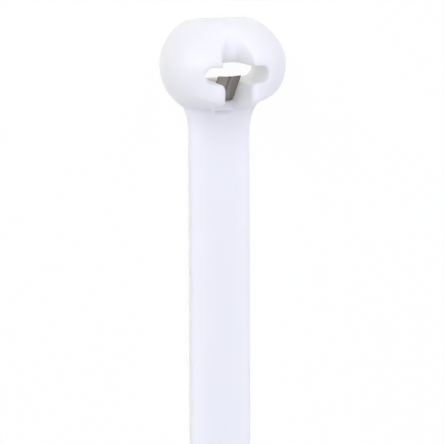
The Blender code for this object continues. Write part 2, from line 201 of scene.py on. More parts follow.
# %% Heights
HEAD_HEIGHT = 4.2 * MM
CREST_PLACE = -0.29 * MM
NOSE_HEIGHT = 2.1 * MM
FOOT_HEIGHT = 1.18 * MM
HEEL_EDGE = 1.05 * MM
FOOT_FILLET = 0.8 * MM
HEAD_BELLY = 1.31 * MM
NOSE_BELLY = 0.71 * MM
RIDGES = 9
RIDGE_PITCH = 1.2 * MM
RIDGE_HEIGHT = 0.14 * MM
RIDGES_INSET = 2.2 * MM
RIDGES_START = TAIL_START - RIDGES_INSET


def ridges(y):
    """Finger ridges across the tail: rounded waves, so that they don't cut a glove."""
    along = (RIDGES_START - y) / RIDGE_PITCH
    wave = ease(np.clip(2 - np.abs(4 * (along % 1) - 2), 0, 1))
    return RIDGE_HEIGHT * np.where((along > 0) & (along < RIDGES), wave, 0.0)


def crest(y):
    """Height of the crown line seen from the side, as if there were no groove."""
    crown = HEAD_HEIGHT - (HEAD_HEIGHT - NOSE_HEIGHT) * share(y, CREST_PLACE, NOSE_REACH) ** 2
    steepness = (HEAD_HEIGHT - FOOT_HEIGHT) / (HEEL_FOOT - HEEL_REACH)
    heel = FOOT_HEIGHT + (y + HEEL_FOOT) * steepness
    rise = share(y, -NECK_END, -HEEL_FOOT) ** 2
    neck = STRAP_THICKNESS + (FOOT_HEIGHT - STRAP_THICKNESS) * rise
    thinning = (STRAP_THICKNESS - TIP_THICKNESS) * share(y, TAIL_START, TAIL_TIP)
    return soft_max(soft_min(crown, heel, HEEL_EDGE), neck, FOOT_FILLET) - thinning + ridges(y)


def belly(y):
    """Height of the widest line of the side wall."""
    nose = HEAD_BELLY + (NOSE_BELLY - HEAD_BELLY) * ease(share(y, HEAD_CENTRE, NOSE_REACH))
    thinning = (STRAP_THICKNESS - TIP_THICKNESS) * share(y, TAIL_START, TAIL_TIP)
    strap = (STRAP_THICKNESS - thinning) / 2
    heel = strap + (HEAD_BELLY - strap) * ease(share(y, -NECK_END, HEAD_CENTRE))
    return np.where(y > HEAD_CENTRE, nose, heel)


print("crown, mm:", round(float(crest(CREST_PLACE)) / MM, 2))

# %% [markdown]
# ## The dome
#
# Each cross-section is half of a rounded shape that stands on the widest line.
# A fullness of 2 makes it an ellipse, which suits the head, and 6 makes it a
# flat strap with rounded edges. Between the two the fullness changes slowly, so
# the neck has no seam.

# %% Dome
HEAD_FULLNESS = 2.0
STRAP_FULLNESS = 6.0
HEEL_CURVE = 7.0 * MM


def headness(y):
    """0 along the strap and 1 in the head."""
    return share(y, -NECK_END, -HEEL_REACH)


def fullness(y):
    """How square the section is: 2 is an ellipse."""
    return STRAP_FULLNESS + (HEAD_FULLNESS - STRAP_FULLNESS) * ease(headness(y))


def heel_bend(x, y):
    """How much further back the crown line counts at x, because the heel is curved."""
    return x**2 / (2 * HEEL_CURVE) * (1 - ease(share(y, -HEEL_REACH, 0)))


def dome(x, y, inset):
    """Height of the outer face before anything is cut out of it."""
    power = fullness(y)
    across = np.clip(np.abs(x) / (half_width(y) - inset), 0, 1)
    rise = crest(y - heel_bend(x, y) * headness(y)) - inset - belly(y)
    return belly(y) + rise * (1 - across**power) ** (1 / power)


print("dome 1 mm off the middle, mm:", round(float(dome(MM, 0.0, 0.0)) / MM, 2))

# %% [markdown]
# ## Groove, slot and notch
#
# The groove runs along the crown and gives the barb room to spring. Behind the
# slot it is deep and open to the neck. Towards the nose it is shallower, its
# banks grow softer, and it fades out. The slot crosses it and goes right through
# the head, a little wider and thicker than the strap. Its far wall and its two
# ends lean in, so it is tighter at the top. Where the groove and the slot meet,
# the crown is left as four soft lobes.
#
# All of this could be cut with Booleans and bevelled afterwards. Soft lips on a
# curved face come out cleaner when the heights are worked out directly, so each
# cut is a function that says how far the skin drops at a place.

# %% Slot
SLOT_SIDE_PLAY = 0.285 * MM
SLOT_THICKNESS_PLAY = 0.28 * MM
SLOT_WIDTH = STRAP_WIDTH + 2 * SLOT_SIDE_PLAY
SLOT_GAP = STRAP_THICKNESS + SLOT_THICKNESS_PLAY
SLOT_CORNER = 0.57 * MM
SLOT_LIP = 0.2 * MM
ENTRY_FLARE = 0.34 * MM
CORNER_FADE = 0.9 * MM
TINY = 1e-6 * MM
slot_edge = SLOT_GAP / 2


def around_corner(x, y):
    """Bends the square grid so that its lines run round the slot's corners."""
    reach_x = np.maximum(np.abs(x) - SLOT_WIDTH / 2 + SLOT_CORNER, TINY)
    reach_y = np.maximum(np.abs(y) - slot_edge + SLOT_CORNER, TINY)
    ring = np.maximum(reach_x, reach_y)
    away = 1 - ease(share(ring, SLOT_CORNER + ENTRY_FLARE, SLOT_CORNER + CORNER_FADE))
    pull = (1 - ring / np.hypot(reach_x, reach_y)) * away
    corner = (reach_x > TINY) & (reach_y > TINY)
    bent_x = x - np.copysign(reach_x * pull, x)
    bent_y = y - np.copysign(reach_y * pull, y)
    return np.where(corner, bent_x, x), np.where(corner, bent_y, y)


def slot_distance(x, y):
    """Distance from a point of the face to the slot's rounded outline."""
    reach_x = np.abs(x) - SLOT_WIDTH / 2 + SLOT_CORNER
    reach_y = np.abs(y) - slot_edge + SLOT_CORNER
    outside = np.hypot(np.maximum(reach_x, 0), np.maximum(reach_y, 0))
    return np.maximum(outside + np.minimum(np.maximum(reach_x, reach_y), 0) - SLOT_CORNER, 0)


print("slot, mm:", round(SLOT_WIDTH / MM, 2), "x", round(SLOT_GAP / MM, 2))

# %% Groove
GROOVE_SIDE_ROOM = 0.03 * MM
GROOVE_DRAFT = 0.06 * MM
GROOVE_FLOOR_HALF = (barb_high.x - barb_low.x) / 2 + GROOVE_SIDE_ROOM
GROOVE_HALF = GROOVE_FLOOR_HALF + GROOVE_DRAFT
GROOVE_FOOT = 0.14 * MM
GROOVE_CREST = 0.45 * MM
CREST_SHARE = 0.7
FAR_BANK_INSIDE = 0.525 * MM
FAR_BANK_OUTSIDE = 0.445 * MM
FAR_SOFTENING = 1.6 * MM
FAR_FLOOR = 2.4 * MM
FAR_END = 2.45 * MM
FAR_CURVE = 1.25
NEAR_FLOOR = 0.76 * MM
WALL_LEAN = 0.22 * MM
END_LEAN = 0.18 * MM
LOBE_CORNER = 0.4 * MM
SHIFT_FADE = 1.14 * MM


def groove_floor(y):
    """Floor of the groove: it runs out towards the nose and climbs to the heel."""
    deepest = crest(slot_edge) - FAR_FLOOR
    far = crest(y) - deepest * (1 - share(y, slot_edge, FAR_END)) ** FAR_CURVE
    climb = (FOOT_HEIGHT - NEAR_FLOOR) / (HEEL_FOOT - slot_edge)
    return np.where(y > 0, far, NEAR_FLOOR + climb * (-y - slot_edge))


def far_bank(x, y):
    """0 on the floor of the groove's far part and 1 on the crown beside it: a soft bank."""
    away = share(y, slot_edge, slot_edge + FAR_SOFTENING)
    foot = (GROOVE_HALF - FAR_BANK_INSIDE) * (1 - away)
    across = share(np.abs(x), foot, GROOVE_HALF + FAR_BANK_OUTSIDE)
    return ease(across) * away + ease(ease(across)) * (1 - away)


def groove_drop(x, y, surface):
    """Depth of the groove below the dome: soft banks ahead of the slot, steep walls behind."""
    depth = np.where(y < FAR_END, np.maximum(surface - groove_floor(y), 0), 0)
    crest_round = np.minimum(GROOVE_CREST, depth * CREST_SHARE)
    foot_round = np.minimum(GROOVE_FOOT, depth - crest_round)
    outside = np.abs(x) - GROOVE_HALF
    down = np.clip(-outside / (GROOVE_HALF - GROOVE_FLOOR_HALF), 0, 1)
    wall = crest_round + (depth - crest_round - foot_round) * down
    floor = depth - rounding(GROOVE_FLOOR_HALF - np.abs(x), foot_round)
    inside = np.where(np.abs(x) > GROOVE_FLOOR_HALF, wall, floor)
    near = np.where(outside >= 0, rounding(outside, crest_round), inside)
    return np.where(y > 0, depth * (1 - far_bank(x, y)), near)


def slot_shift(x, y):
    """How far a place stands off its own cross-section: leaning wall and lobe corners."""
    outside = np.abs(x) - GROOVE_HALF
    in_groove = outside < (GROOVE_FLOOR_HALF - GROOVE_HALF) / 2
    wall_height = FAR_FLOOR + (HEAD_HEIGHT - FAR_FLOOR) * far_bank(x, slot_edge)
    lean = WALL_LEAN * share(y, -slot_edge, slot_edge) * wall_height / HEAD_HEIGHT
    corner = rounding(np.maximum(outside, 0), LOBE_CORNER) * ((y < 0) & ~in_groove)
    fade = 1 - ease(share(np.abs(y), slot_edge, slot_edge + SHIFT_FADE))
    return (-corner - lean) * fade


def end_shift(x, y):
    """How far a place stands in from its own line: the slot's ends lean in."""
    close = 1 - ease(share(slot_distance(x, y), 0, SHIFT_FADE))
    return END_LEAN * close * share(np.abs(x), GROOVE_HALF + GROOVE_CREST, SLOT_WIDTH / 2)


print("groove, mm:", round(2 * GROOVE_HALF / MM, 2), "wide")

# %% Notch and barb pocket
NOTCH_PLACE = -2.5 * MM
NOTCH_WIDTH = 1.01 * MM
NOTCH_LENGTH = 0.42 * MM
NOTCH_DEPTH = 0.45 * MM
NOTCH_SIDE = 0.3 * MM
POCKET_LENGTH = 0.2 * MM
POCKET_DEPTH = 0.3 * MM
CUT_EDGE = 0.05 * MM
BARB_ROOT = -1.7 * MM


def cut_drop(x, y):
    """Small cuts: the notch under the heel, and the pocket that the barb comes out of."""
    run_out = share(y, NOTCH_PLACE - NOTCH_LENGTH, NOTCH_PLACE) ** 2
    upright = share(y, NOTCH_PLACE + CUT_EDGE, NOTCH_PLACE)
    side = ease(share(np.abs(x), (NOTCH_WIDTH + NOTCH_SIDE) / 2, (NOTCH_WIDTH - NOTCH_SIDE) / 2))
    notch = NOTCH_DEPTH * run_out * upright * side
    behind = share(y, BARB_ROOT - POCKET_LENGTH, BARB_ROOT - POCKET_LENGTH + CUT_EDGE)
    ahead = share(y, BARB_ROOT + CUT_EDGE, BARB_ROOT)
    across = share(np.abs(x), GROOVE_FLOOR_HALF, GROOVE_FLOOR_HALF - CUT_EDGE)
    return notch + POCKET_DEPTH * behind * ahead * across


def outer_face(x, y, inset):
    """Points of the outer face, with everything taken out of it."""
    x, y = around_corner(x, y)
    lip_drop = rounding(slot_distance(x, y), SLOT_LIP)
    place = y + slot_shift(x, y)
    x = x - np.sign(x) * end_shift(x, y)
    surface = dome(x, place, inset)
    return x, place, surface - groove_drop(x, place, surface) - cut_drop(x, place) - lip_drop


def inner_face(x, y, inset):
    """Points of the flat inner face, with the slot's flared mouth."""
    x, y = around_corner(x, y)
    return x, y, inset + rounding(slot_distance(x, y), ENTRY_FLARE)


print("notch, mm:", round(NOTCH_WIDTH / MM, 2), "wide")

# %% [markdown]
# ## Rows and lines of the skin
#
# A loft is as good as the places of its rows and lines. They are crowded where
# the form turns quickly, such as the lips of the slot and the rounded crest of
# the groove, and far apart on the plain strap. A row is one cross-section, and
# a line runs along the tie from nose to tail.

# %% Places of the rows
NOSE_EDGE = 0.3 * MM
PAST_NOTCH = 0.1 * MM
CROWN_STEP = 0.063 * MM
HEEL_STEP = 0.045 * MM
NOSE_STEPS = 8
LIP_STEPS = 9
SLOT_STEPS = 18
NECK_STEPS = 14
STRAP_STEPS = 36
STEPS_PER_RIDGE = 10
TAIL_STEPS = 6
TIP_STEPS = 14


def spread(start, end, count):
    """Evenly spaced places after start, up to and including end."""
    return [start + (end - start) * (i + 1) / count for i in range(count)]


def round_steps(reach, count):
    """Distances from an edge that crowd towards it."""
    return [reach * (1 - math.cos(math.pi / 2 * i / count)) for i in range(count + 1)]


nose_turns = [math.pi / 2 * (1 - i / NOSE_STEPS) for i in range(NOSE_STEPS + 1)]
nose_rows = [
    (NOSE_REACH - NOSE_EDGE * (1 - math.sin(t)), NOSE_EDGE * (1 - math.cos(t)))
    for t in nose_turns
]
lip = round_steps(ENTRY_FLARE, LIP_STEPS)
far_lip = slot_edge + ENTRY_FLARE
heel_end = NOTCH_PLACE - NOTCH_LENGTH - PAST_NOTCH
places = spread(NOSE_REACH - NOSE_EDGE, far_lip, round((NOSE_REACH - far_lip) / CROWN_STEP))
places += [slot_edge + step for step in reversed(lip[:-1])]
first_slot_row = len(nose_rows) + len(places) - 1
places += [slot_edge * math.cos(math.pi * (i + 1) / SLOT_STEPS) for i in range(SLOT_STEPS)]
last_slot_row = len(nose_rows) + len(places) - 1
places += [-slot_edge - step for step in lip[1:]]
places += spread(-far_lip, heel_end, round((-far_lip - heel_end) / HEEL_STEP))
places += spread(heel_end, -NECK_END, NECK_STEPS)
places += spread(-NECK_END, RIDGES_START, STRAP_STEPS)
places += spread(RIDGES_START, RIDGES_START - RIDGES * RIDGE_PITCH, STEPS_PER_RIDGE * RIDGES)
places += spread(places[-1], TAIL_TIP + TIP_ROUND, TAIL_STEPS)
tip_turns = [math.pi / 2 * i / TIP_STEPS for i in range(1, TIP_STEPS + 1)]
places += [TAIL_TIP + TIP_ROUND * (1 - math.sin(t)) for t in tip_turns]
rows = nose_rows + [(place, 0.0) for place in places]
print("rows:", len(rows), "slot rows:", first_slot_row, "to", last_slot_row)

# %% Places of the lines
FLOOR_STEPS = 12
FOOT_STEPS = 4
CREST_STEPS = 9
SPAN_STEPS = 7
OUTER_STEPS = 16
GROOVE_SHARE = 0.6
SLOT_SHARE = 0.85


def lines_at(y, inset):
    """Places of the lines on one half of the section at y, from the middle out."""
    width = float(half_width(y)) - inset
    crown = GROOVE_HALF + GROOVE_CREST
    foot = GROOVE_FLOOR_HALF - GROOVE_FOOT
    lines = [0.0] + spread(0, foot, FLOOR_STEPS) + spread(foot, GROOVE_FLOOR_HALF, FOOT_STEPS)
    lines += [GROOVE_HALF + step for step in round_steps(GROOVE_CREST, CREST_STEPS)]
    inner = min(1.0, GROOVE_SHARE * width / crown)
    lines = [line * inner for line in lines]
    reach = SLOT_WIDTH / 2 + ENTRY_FLARE - crown
    outer = min(1.0, (SLOT_SHARE * width - inner * crown) / reach)
    beside = spread(0, SLOT_WIDTH / 2 - crown, SPAN_STEPS)
    beside += [beside[-1] + step for step in lip[1:]]
    lines += [crown * inner + step * outer for step in beside]
    power = float(fullness(y))
    start = math.asin((lines[-1] / width) ** (power / 2))
    for i in range(1, OUTER_STEPS + 1):
        turn_here = start + (math.pi / 2 - start) * i / OUTER_STEPS
        lines.append(width * math.sin(turn_here) ** (2 / power))
    return np.array(lines)


slot_line = FLOOR_STEPS + FOOT_STEPS + CREST_STEPS + 1 + SPAN_STEPS
print("lines on each half:", len(lines_at(0.0, 0.0)), "slot line:", slot_line)

# %% [markdown]
# ## Closing the skin
#
# Every row gets its top points, two side walls and its inner face, in order
# round the section. The side wall is a quarter of an ellipse that tucks in
# towards the inner face. Its top is the widest line, halfway up the strap, and
# carries the parting line: a fine bead where the two halves of the mould met.
# Neighbouring rows are joined with quads, the cells of the slot are left open,
# and the slot's walls close the gap.

# %% Sections
HEAD_BULGE = 0.4 * MM
STRAP_BULGE = 0.2 * MM
BULGE_SHARE = 0.15
TUCK_START = 0.66
SIDE_STEPS = 9


def section(y, inset):
    """Points of one cross-section in order, and how many lie on the top."""
    half = lines_at(y, inset)
    x = np.concatenate([-half[:0:-1], half])
    width = half[-1]
    bulge = HEAD_BULGE * headness(y) + STRAP_BULGE * (1 - headness(y))
    bulge = min(float(bulge), BULGE_SHARE * width)
    along = np.full_like(x, y)
    top = np.stack(outer_face(x, along, inset), 1)
    tucked = x - np.sign(x) * bulge * share(np.abs(x), TUCK_START * width, width) ** 2
    under = np.stack(inner_face(tucked, along, inset), 1)[::-1]
    level = float(dome(width, y, inset))
    turns = np.pi / 2 * np.arange(1, SIDE_STEPS) / SIDE_STEPS
    side_x = width - bulge * (1 - np.cos(turns))
    side_z = level + (inset - level) * np.sin(turns)
    side = np.stack([side_x, np.full_like(side_x, y), side_z], 1)
    other = side[::-1] * (-1, 1, 1)
    return np.concatenate([top, side, under, other]), len(x)


points, top_count = section(0.0, 0.0)
print("points round a section:", len(points))

# %% Moulding mesh
def in_slot(row, column, top_count):
    """True for a cell of the grid that the slot leaves open."""
    middle = top_count // 2
    side_points = SIDE_STEPS - 1
    if column >= top_count:
        column = 2 * top_count + side_points - 2 - column
    inside = middle - slot_line <= column < middle + slot_line
    return first_slot_row <= row < last_slot_row and inside


def slot_rim(top_count):
    """The slot's outline on the top, as row and column, in order round it."""
    left, last = top_count // 2 - slot_line, top_count // 2 + slot_line
    rim = [(first_slot_row, column) for column in range(left, last)]
    rim += [(row, last) for row in range(first_slot_row, last_slot_row)]
    rim += [(last_slot_row, column) for column in range(last, left, -1)]
    return rim + [(row, left) for row in range(last_slot_row, first_slot_row, -1)]


def moulding_mesh():
    """The whole skin: its rows joined, both ends closed, and the slot's walls put in."""
    rings = [section(y, inset)[0] for y, inset in rows]
    ring_size = len(rings[0])
    under_first = 2 * top_count + SIDE_STEPS - 2
    faces = []
    for row in range(len(rings) - 1):
        for column in range(ring_size):
            if in_slot(row, column, top_count):
                continue
            after = (column + 1) % ring_size
            here, there = row * ring_size, (row + 1) * ring_size
            faces.append((here + column, there + column, there + after, here + after))
    faces.append(tuple(range(ring_size)))
    last = (len(rings) - 1) * ring_size
    faces.append(tuple(range(last + ring_size - 1, last - 1, -1)))
    rim = slot_rim(top_count)
    for (row_a, a), (row_b, b) in zip(rim, rim[1:] + rim[:1]):
        top_a, top_b = row_a * ring_size + a, row_b * ring_size + b
        low_a = row_a * ring_size + under_first - a
        low_b = row_b * ring_size + under_first - b
        faces.append((top_b, top_a, low_a, low_b))
    mesh = bpy.data.meshes.new("nylon_moulding")
    mesh.from_pydata(np.concatenate(rings).tolist(), [], faces)
    return mesh


print("cells left open by the slot:", (last_slot_row - first_slot_row) * 2 * slot_line)

# %% Moulding object
PARTING_BEAD = 0.02 * MM


def add_parting_bead(mesh):
    """Swells the widest line of each side wall into the bead left by the mould's joint."""
    ring_size = 2 * top_count + 2 * (SIDE_STEPS - 1)
    for row, (y, inset) in enumerate(rows):
        if inset > 0 or y < TAIL_TIP + TIP_ROUND or y > HEAD_CENTRE:
            continue
        for column, side in ((0, -1), (top_count - 1, 1)):
            vertex = mesh.vertices[row * ring_size + column]
            vertex.co.x += side * PARTING_BEAD * float(1 - headness(y))


def add_piece(name, mesh, node, sharp_above):
    """Links a finished mesh, shades it smooth, and puts it in its CAD node's place.

    Edges sharper than sharp_above, in degrees, stay crisp.
    """
    piece = bpy.data.objects.new(name, mesh)
    bpy.context.scene.collection.objects.link(piece)
    mesh.shade_smooth()
    mesh.set_sharp_from_angle(angle=math.radians(sharp_above))
    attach(piece, "root")
    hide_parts(node)
    return piece


skin = moulding_mesh()
add_parting_bead(skin)
skin.transform(Matrix.Translation(slot_place))
moulding = add_piece("nylon_moulding", skin, "tie_moulding", sharp_above=50)
print("moulding:", len(skin.vertices), "points,", len(skin.polygons), "faces")

# %% [markdown]
# ## The barb
#
# The real barb is cut from spring-steel strip 0.12 mm thick. A press folds a
# shallow crease down its middle, which makes the short slip much stiffer, and
# shears it to length, so its end is a crisp straight edge. It could be a plane
# with a Solidify modifier. A small grid bent by one formula does the same and
# also gives the crease its tight radius and the edges their burnished round.

# %% Barb mesh
BARB_ANGLE = math.radians(43.5)
BARB_THICKNESS = 0.12 * MM
BARB_CREASE = 0.07 * MM
CREASE_GROOVE = 0.035 * MM
CREASE_WIDTH = 0.13 * MM
BARB_EDGE = 0.03 * MM
EDGE_WEAR = 0.6
ACROSS_STEPS = 48
ALONG_STEPS = 30
barb_middle = (barb_low + barb_high) / 2
barb_half = (barb_high.x - barb_low.x) / 2
rise = barb_high.z - barb_low.z - (BARB_THICKNESS + BARB_CREASE) * math.cos(BARB_ANGLE)
barb_length = rise / math.sin(BARB_ANGLE)
barb_along = Vector((0, math.cos(BARB_ANGLE), math.sin(BARB_ANGLE)))
barb_face = Vector((0, -math.sin(BARB_ANGLE), math.cos(BARB_ANGLE)))


def barb_lift(across):
    """Height of the strip's middle layer: a low roof with a tight crease along it."""
    roof = BARB_CREASE * (1 - abs(across) / barb_half) - BARB_CREASE / 2
    crease = CREASE_GROOVE * float(ease(share(abs(across), CREASE_WIDTH, 0)))
    return roof - crease


def barb_mesh():
    """Upper and lower sheet of the strip, with their rims joined."""
    mesh = bpy.data.meshes.new("steel_barb")
    points, faces = [], []
    for side in (1, -1):
        for row in range(ALONG_STEPS + 1):
            along = barb_length * (row / ALONG_STEPS - 0.5)
            for column in range(ACROSS_STEPS + 1):
                across = barb_half * math.sin(math.pi * (column / ACROSS_STEPS - 0.5))
                to_edge = min(barb_half - abs(across), barb_length / 2 - abs(along))
                worn = float(rounding(to_edge, BARB_EDGE)) * EDGE_WEAR
                lift = barb_lift(across) + side * (BARB_THICKNESS / 2 - worn)
                place = barb_middle + barb_along * along + barb_face * lift
                points.append((across, place.y, place.z))
    across_count = ACROSS_STEPS + 1
    sheet = across_count * (ALONG_STEPS + 1)
    for row in range(ALONG_STEPS):
        for column in range(ACROSS_STEPS):
            a = row * across_count + column
            cell = (a, a + 1, a + 1 + across_count, a + across_count)
            faces.append(cell)
            faces.append(tuple(sheet + index for index in reversed(cell)))
    rim = list(range(ACROSS_STEPS))
    rim += [row * across_count + ACROSS_STEPS for row in range(ALONG_STEPS)]
    last = ALONG_STEPS * across_count
    rim += [last + column for column in range(ACROSS_STEPS, 0, -1)]
    rim += [row * across_count for row in range(ALONG_STEPS, 0, -1)]
    for a, b in zip(rim, rim[1:] + rim[:1]):
        faces.append((b, a, sheet + a, sheet + b))
    mesh.from_pydata(points, [], faces)
    return mesh


barb = add_piece("steel_barb", barb_mesh(), "locking_barb", sharp_above=35)
print("barb length, mm:", round(barb_length / MM, 2))

# %% [markdown]
# ## Two helpers for materials
#
# A material here is a small tree of nodes. Colours are written the way a colour
# picker shows them, as sRGB hex, and one function turns them to the linear
# values that a shader needs. A second function adds a node: its settings are
# attributes, and each of its inputs is a value or another node's output. Where
# a node has several inputs of one name, as Mix has, they go by number.

# %% Material helpers
def linear(colour_hex):
    """An sRGB hex colour as linear red, green, blue and alpha."""
    channels = [int(colour_hex[i : i + 2], 16) / 255 for i in (1, 3, 5)]
    return (*[c / 12.92 if c <= 0.04045 else ((c + 0.055) / 1.055) ** 2.4 for c in channels], 1)


def add_node(tree, kind, inputs, **settings):
    """Adds a node to the tree. inputs gives each socket a value or an output to link."""
    node = tree.nodes.new(kind)
    for name, value in settings.items():
        setattr(node, name, value)
    for socket, value in inputs.items():
        if isinstance(value, bpy.types.NodeSocket):
            tree.links.new(value, node.inputs[socket])
        else:
            node.inputs[socket].default_value = value
    return node


def new_material(name):
    """A material and its tree, with every node taken out."""
    material = bpy.data.materials.new(name)
    material.use_nodes = True
    material.node_tree.nodes.clear()
    return material, material.node_tree


print("mid grey is", round(linear("#808080")[0], 3), "in linear light")

# %% [markdown]
# ## Nylon 6.6, injection moulded, natural
#
# Undyed nylon is milky: light goes a millimetre or so into it and comes back
# out softened. So the whole colour is subsurface scattering. The nylon itself is
# all but neutral, and the cool tint on its upper faces comes from the light. The
# steel mould was satin polished, which leaves a soft sheen with no sharp
# reflections. Three patterns break up the evenness. Clouds of slightly denser
# nylon some 3 mm across and faint streaks where the melt flowed along the strap
# have their real sizes. The fine grain of the mould is drawn twice as coarse as
# it is, so that it can show at all.

# %% Nylon
NYLON = "#fafaf6"
NYLON_DENSE = "#fcfcf9"
NYLON_THIN = "#f6f6f1"
ROUGHNESS_THIN = 0.3
ROUGHNESS_DENSE = 0.38
CLOUD_SIZE = 3.0 * MM
STREAK_WIDTH = 0.35 * MM
STREAK_LENGTH = 9.0 * MM
STREAK_SHARE = 0.35
STREAK_RELIEF = 0.01 * MM
STREAK_BUMP = 0.12
GRAIN_SIZE = 0.09 * MM
GRAIN_RELIEF = 0.006 * MM
GRAIN_BUMP = 0.18
NYLON_IOR = 1.53
SCATTER_REACH = 1.0 * MM
SCATTER_EVENLY = (1.0, 1.0, 1.0)
NOISE_SPAN = {"From Min": 0.3, "From Max": 0.7}


def moulded_nylon():
    """Milky nylon with clouds, flow streaks and the grain of the mould."""
    material, tree = new_material("nylon_6_6_injection_moulded_natural")
    place = add_node(tree, "ShaderNodeTexCoord", {}).outputs["Object"]
    cloud = add_node(
        tree,
        "ShaderNodeTexNoise",
        {"Vector": place, "Scale": 1 / CLOUD_SIZE, "Detail": 3.0, "Roughness": 0.5},
    )
    streak_scale = (1 / STREAK_WIDTH, 1 / STREAK_LENGTH, 1 / STREAK_WIDTH)
    stretched = add_node(
        tree,
        "ShaderNodeVectorMath",
        {0: place, 1: streak_scale},
        operation="MULTIPLY",
    )
    streak = add_node(
        tree,
        "ShaderNodeTexNoise",
        {"Vector": stretched.outputs[0], "Scale": 1.0, "Detail": 2.0},
    )
    grain = add_node(
        tree,
        "ShaderNodeTexNoise",
        {"Vector": place, "Scale": 1 / GRAIN_SIZE, "Detail": 2.0, "Roughness": 0.6},
    )
    clouded = add_node(
        tree,
        "ShaderNodeMix",
        {0: cloud.outputs["Fac"], 6: linear(NYLON_THIN), 7: linear(NYLON_DENSE)},
        data_type="RGBA",
    )
    streaked = add_node(
        tree,
        "ShaderNodeMapRange",
        {"Value": streak.outputs["Fac"], **NOISE_SPAN, "To Min": 0.0, "To Max": STREAK_SHARE},
    )
    colour = add_node(
        tree,
        "ShaderNodeMix",
        {0: streaked.outputs[0], 6: clouded.outputs[2], 7: linear(NYLON)},
        data_type="RGBA",
    )
    gloss = add_node(
        tree,
        "ShaderNodeMapRange",
        {
            "Value": cloud.outputs["Fac"],
            **NOISE_SPAN,
            "To Min": ROUGHNESS_THIN,
            "To Max": ROUGHNESS_DENSE,
        },
    )
    flow_bump = add_node(
        tree,
        "ShaderNodeBump",
        {"Strength": STREAK_BUMP, "Distance": STREAK_RELIEF, "Height": streak.outputs["Fac"]},
    )
    grain_bump = add_node(
        tree,
        "ShaderNodeBump",
        {
            "Strength": GRAIN_BUMP,
            "Distance": GRAIN_RELIEF,
            "Height": grain.outputs["Fac"],
            "Normal": flow_bump.outputs["Normal"],
        },
    )
    shader = add_node(
        tree,
        "ShaderNodeBsdfPrincipled",
        {
            "Base Color": colour.outputs[2],
            "Roughness": gloss.outputs[0],
            "IOR": NYLON_IOR,
            "Subsurface Weight": 1.0,
            "Subsurface Radius": SCATTER_EVENLY,
            "Subsurface Scale": SCATTER_REACH,
            "Normal": grain_bump.outputs["Normal"],
        },
    )
    add_node(tree, "ShaderNodeOutputMaterial", {"Surface": shader.outputs[0]})
    return material


moulding.data.materials.append(moulded_nylon())
print("grain, mm:", round(GRAIN_SIZE / MM, 2))

# %% [markdown]
# ## Spring steel, cold rolled and sheared
#
# The strip is rolled to a dull, slightly warm grey and is never plated. Rolling
# leaves fine lines along the strip, too fine for the picture, so they are drawn
# at 0.03 mm. Shade is painted into the crease as a darker colour, which reads
# as a faint darker line.

# %% Steel
STEEL = "#a39e95"
STEEL_SHADE = "#827d74"
# Painted shade: the darker colour laid along the crease stands in for the shade that falls there.
CREASE_PAINTED_SHADE = "#66615a"
STEEL_ROUGHNESS = 0.42
CREASE_SHADE = 0.6
CREASE_CORE = 0.2 * CREASE_WIDTH
ROLLING_LINE = 0.03 * MM
ROLLING_LENGTH = 1.2 * MM
ROLLING_RELIEF = 0.004 * MM
ROLLING_BUMP = 0.25


def rolled_steel():
    """Dull grey steel with rolling lines and painted shade darkening the crease."""
    material, tree = new_material("spring_steel_cold_rolled")
    place = add_node(tree, "ShaderNodeTexCoord", {}).outputs["Object"]
    line_scale = (1 / ROLLING_LINE, 1 / ROLLING_LENGTH, 1 / ROLLING_LENGTH)
    stretched = add_node(
        tree,
        "ShaderNodeVectorMath",
        {0: place, 1: line_scale},
        operation="MULTIPLY",
    )
    rolled = add_node(
        tree,
        "ShaderNodeTexNoise",
        {"Vector": stretched.outputs[0], "Scale": 1.0, "Detail": 3.0},
    )
    # Painted shade: a mask that darkens the colour along the middle of the crease.
    across = add_node(tree, "ShaderNodeSeparateXYZ", {0: place})
    off_middle = add_node(tree, "ShaderNodeMath", {0: across.outputs["X"]}, operation="ABSOLUTE")
    crease = add_node(
        tree,
        "ShaderNodeMapRange",
        {
            "Value": off_middle.outputs[0],
            "From Min": CREASE_CORE,
            "From Max": CREASE_WIDTH,
            "To Min": CREASE_SHADE,
            "To Max": 0.0,
        },
        interpolation_type="SMOOTHSTEP",
    )
    strip = add_node(
        tree,
        "ShaderNodeMix",
        {0: rolled.outputs["Fac"], 6: linear(STEEL_SHADE), 7: linear(STEEL)},
        data_type="RGBA",
    )
    colour = add_node(
        tree,
        "ShaderNodeMix",
        {0: crease.outputs[0], 6: strip.outputs[2], 7: linear(CREASE_PAINTED_SHADE)},
        data_type="RGBA",
    )
    bump = add_node(
        tree,
        "ShaderNodeBump",
        {"Strength": ROLLING_BUMP, "Distance": ROLLING_RELIEF, "Height": rolled.outputs["Fac"]},
    )
    shader = add_node(
        tree,
        "ShaderNodeBsdfPrincipled",
        {
            "Base Color": colour.outputs[2],
            "Metallic": 1.0,
            "Roughness": STEEL_ROUGHNESS,
            "Normal": bump.outputs["Normal"],
        },
    )
    add_node(tree, "ShaderNodeOutputMaterial", {"Surface": shader.outputs[0]})
    return material


barb.data.materials.append(rolled_steel())
print("rolling lines, mm:", round(ROLLING_LINE / MM, 2))

# %% [markdown]
# ## Floor and light
#
# The tie lies on a sheet of white opal acrylic, as on a product table. It is lit
# from below too, and that light reaches the side walls and the hollows of the
# head. For the camera the sheet is mostly a plain white of strength 1, and the
# rest is its lit upper face, so the shadow of the tie stays as a faint tone.
#
# The light on the tie is soft: a pale, slightly cool room that is brightest
# overhead, and two broad soft boxes on the left and the right, both well towards
# the nose and 30 to 35 degrees above the sheet. The two quiet highlights on the
# lobes say where they stand.

# %% Floor
FLOOR_SIZE = 8.0
PLAIN_WHITE = "#ffffff"
OPAL_SHARE = 0.9
WHITE_SHARE = 0.93


